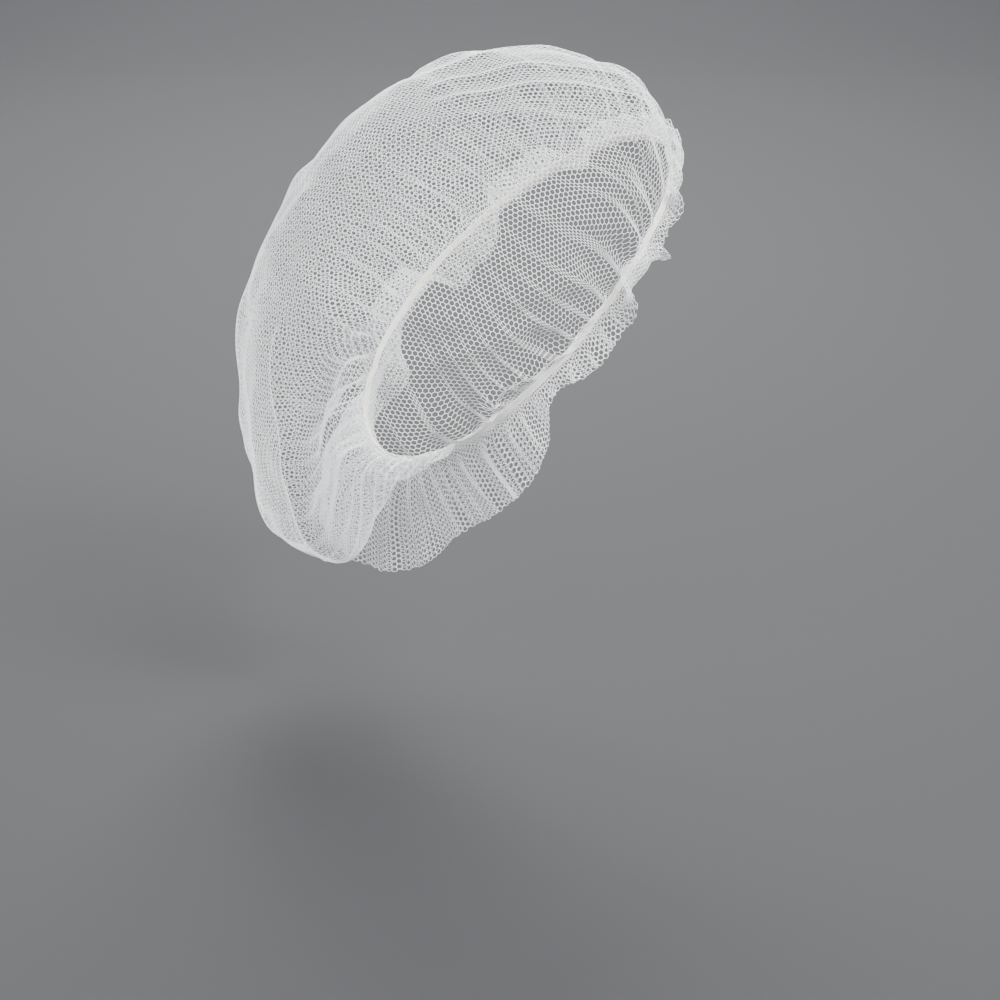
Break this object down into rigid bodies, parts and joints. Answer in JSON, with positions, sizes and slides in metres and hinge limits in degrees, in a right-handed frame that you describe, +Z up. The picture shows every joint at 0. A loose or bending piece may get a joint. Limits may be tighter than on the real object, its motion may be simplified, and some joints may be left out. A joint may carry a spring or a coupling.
{
  "type": "hairnet",
  "caption": "White honeycomb hairnet in its worn form: loose net crown with a slack back, narrow elastic band and gathered ruffle.",
  "frame": {"origin": "centre of the elastic band's opening, where the head goes in", "axes": "+Z up as worn, -Y to the forehead, -X to the wearer's right"},
  "size_m": [0.1793, 0.1902, 0.2156],
  "materials": {
    "net": "white nylon honeycomb net of fine threads, soft sheen",
    "elastic": "ivory covered elastic with fine ribs, matt"
  },
  "bodies": {
    "root": {"crown_net": "net", "elastic_band": "elastic", "ruffle": "net"}
  },
  "joints": []
}
